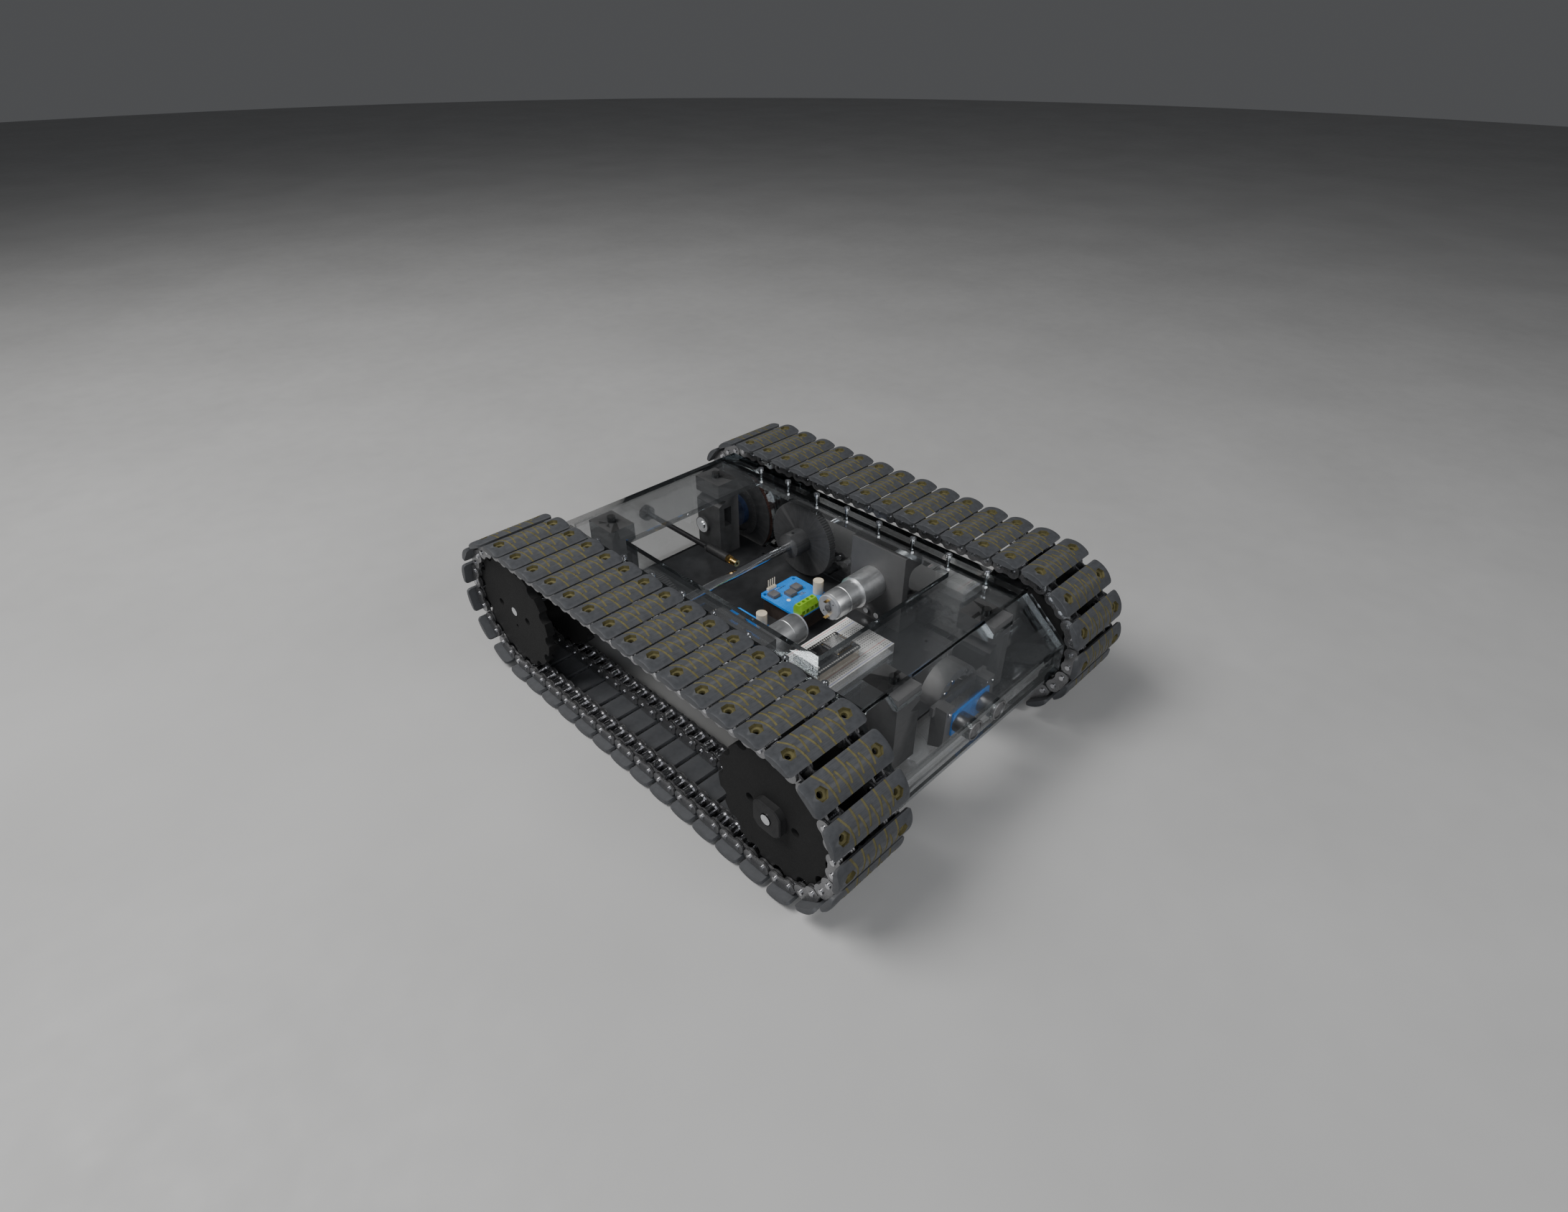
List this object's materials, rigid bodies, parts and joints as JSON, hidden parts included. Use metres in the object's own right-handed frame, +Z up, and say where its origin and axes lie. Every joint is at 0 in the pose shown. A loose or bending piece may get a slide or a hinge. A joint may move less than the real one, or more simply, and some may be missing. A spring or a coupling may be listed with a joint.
{
  "type": "tracked robot chassis",
  "caption": "Small tracked robot chassis: two chain-and-pad crawler tracks round a clear box body with belt-drive pulleys, two gearmotors, electronics and a range sensor.",
  "frame": {"origin": "on the floor, under the middle of the two tracks", "axes": "+Z up, nose and range sensor towards -Y, +X to the robot's left"},
  "size_m": [0.3522, 0.4523, 0.136],
  "materials": {
    "pad_rubber": "matte",
    "chain_steel": "black oxide",
    "roller_steel": "polished",
    "pin_steel": "polished",
    "sprocket_black": "matte black",
    "hub_black": "matte",
    "axle_steel": "polished",
    "pulley_grey": "printed",
    "band_red": "matte",
    "hub_blue": "matte",
    "motor_can": "polished",
    "gearbox_steel": "brushed",
    "end_cap": "translucent",
    "brass": "polished",
    "print_grey": "printed",
    "floor_grey": "satin",
    "clear_acrylic": "polished",
    "screw_chrome": "polished",
    "bearing_steel": "polished",
    "bracket_grey": "printed",
    "sensor_steel": "satin",
    "board_blue": "solder mask",
    "block_dark": "matte",
    "terminal_green": "moulded",
    "capacitor_beige": "satin",
    "chip_grey": "matte",
    "bread_white": "satin",
    "board_black": "solder mask",
    "shield_silver": "satin",
    "antenna_black": "satin"
  },
  "bodies": {
    "chassis": {"chain_outer_plates_left": "chain_steel", "chain_inner_plates_left": "chain_steel", "chain_rollers_left": "roller_steel", "chain_pins_left": "pin_steel", "pads_left": "pad_rubber", "chain_outer_plates_right": "chain_steel", "chain_inner_plates_right": "chain_steel", "chain_rollers_right": "roller_steel", "chain_pins_right": "pin_steel", "pads_right": "pad_rubber", "cross_shaft": "axle_steel", "motor_cans": "motor_can", "gearboxes": "gearbox_steel", "motor_end_caps": "end_cap", "motor_terminals": "brass", "motor_brackets": "print_grey", "floor_plates": "floor_grey", "nose_belly": "clear_acrylic", "nose_strip": "clear_acrylic", "nose_hood": "clear_acrylic", "side_walls": "clear_acrylic", "rear_wall": "clear_acrylic", "top_plate": "clear_acrylic", "deck_screws": "screw_chrome", "bearing_posts": "print_grey", "bearings": "bearing_steel", "sensor_bracket": "bracket_grey", "sensor_cans": "sensor_steel", "circuit_boards": "board_blue", "driver_blocks": "block_dark", "driver_terminals": "terminal_green", "driver_capacitors": "capacitor_beige", "driver_chips": "chip_grey", "breadboard": "bread_white", "controller_board": "board_black", "controller_shields": "shield_silver", "pin_headers": "brass", "antenna_connector": "brass", "antenna_rod": "antenna_black", "small_screws": "screw_chrome"},
    "front_wheels_left": {"front_axle_left": "axle_steel", "front_sprockets_left": "sprocket_black", "front_hub_left": "hub_black"},
    "rear_wheels_left": {"rear_axle_left": "axle_steel", "rear_sprockets_left": "sprocket_black", "rear_pulley_left": "pulley_grey", "rear_pulley_teeth_left": "band_red", "rear_pulley_hub_left": "hub_blue"},
    "pulley_left": {"big_pulley_left": "pulley_grey"},
    "motor_shaft_left": {"motor_output_left": "axle_steel"},
    "front_wheels_right": {"front_axle_right": "axle_steel", "front_sprockets_right": "sprocket_black", "front_hub_right": "hub_black"},
    "rear_wheels_right": {"rear_axle_right": "axle_steel", "rear_sprockets_right": "sprocket_black", "rear_pulley_right": "pulley_grey", "rear_pulley_teeth_right": "band_red", "rear_pulley_hub_right": "hub_blue"},
    "pulley_right": {"big_pulley_right": "pulley_grey"},
    "motor_shaft_right": {"motor_output_right": "axle_steel"}
  },
  "joints": [
    {"name": "rear_wheel_spin_left", "type": "hinge", "parent": "chassis", "child": "rear_wheels_left", "pos_m": [0.14, 0.15875, 0.068], "axis": [1, 0, 0], "continuous": true},
    {"name": "front_wheel_spin_left", "type": "hinge", "parent": "chassis", "child": "front_wheels_left", "pos_m": [0.14, -0.15875, 0.068], "axis": [1, 0, 0], "continuous": true},
    {"name": "pulley_spin_left", "type": "hinge", "parent": "chassis", "child": "pulley_left", "pos_m": [0.14, 0.054, 0.08], "axis": [1, 0, 0], "continuous": true},
    {"name": "motor_spin_left", "type": "hinge", "parent": "chassis", "child": "motor_shaft_left", "pos_m": [0.14, -0.04, 0.08], "axis": [1, 0, 0], "continuous": true},
    {"name": "rear_wheel_spin_right", "type": "hinge", "parent": "chassis", "child": "rear_wheels_right", "pos_m": [-0.14, 0.15875, 0.068], "axis": [1, 0, 0], "continuous": true},
    {"name": "front_wheel_spin_right", "type": "hinge", "parent": "chassis", "child": "front_wheels_right", "pos_m": [-0.14, -0.15875, 0.068], "axis": [1, 0, 0], "continuous": true},
    {"name": "pulley_spin_right", "type": "hinge", "parent": "chassis", "child": "pulley_right", "pos_m": [-0.14, 0.054, 0.08], "axis": [1, 0, 0], "continuous": true},
    {"name": "motor_spin_right", "type": "hinge", "parent": "chassis", "child": "motor_shaft_right", "pos_m": [-0.14, -0.04, 0.08], "axis": [1, 0, 0], "continuous": true}
  ],
  "couplings": [
    {"joint": "front_wheel_spin_left", "follows": "rear_wheel_spin_left", "ratio": 1},
    {"joint": "pulley_spin_left", "follows": "rear_wheel_spin_left", "ratio": 1.2292},
    {"joint": "motor_spin_left", "follows": "rear_wheel_spin_left", "ratio": 5.9},
    {"joint": "front_wheel_spin_right", "follows": "rear_wheel_spin_right", "ratio": 1},
    {"joint": "pulley_spin_right", "follows": "rear_wheel_spin_right", "ratio": 1.2292},
    {"joint": "motor_spin_right", "follows": "rear_wheel_spin_right", "ratio": 5.9}
  ]
}
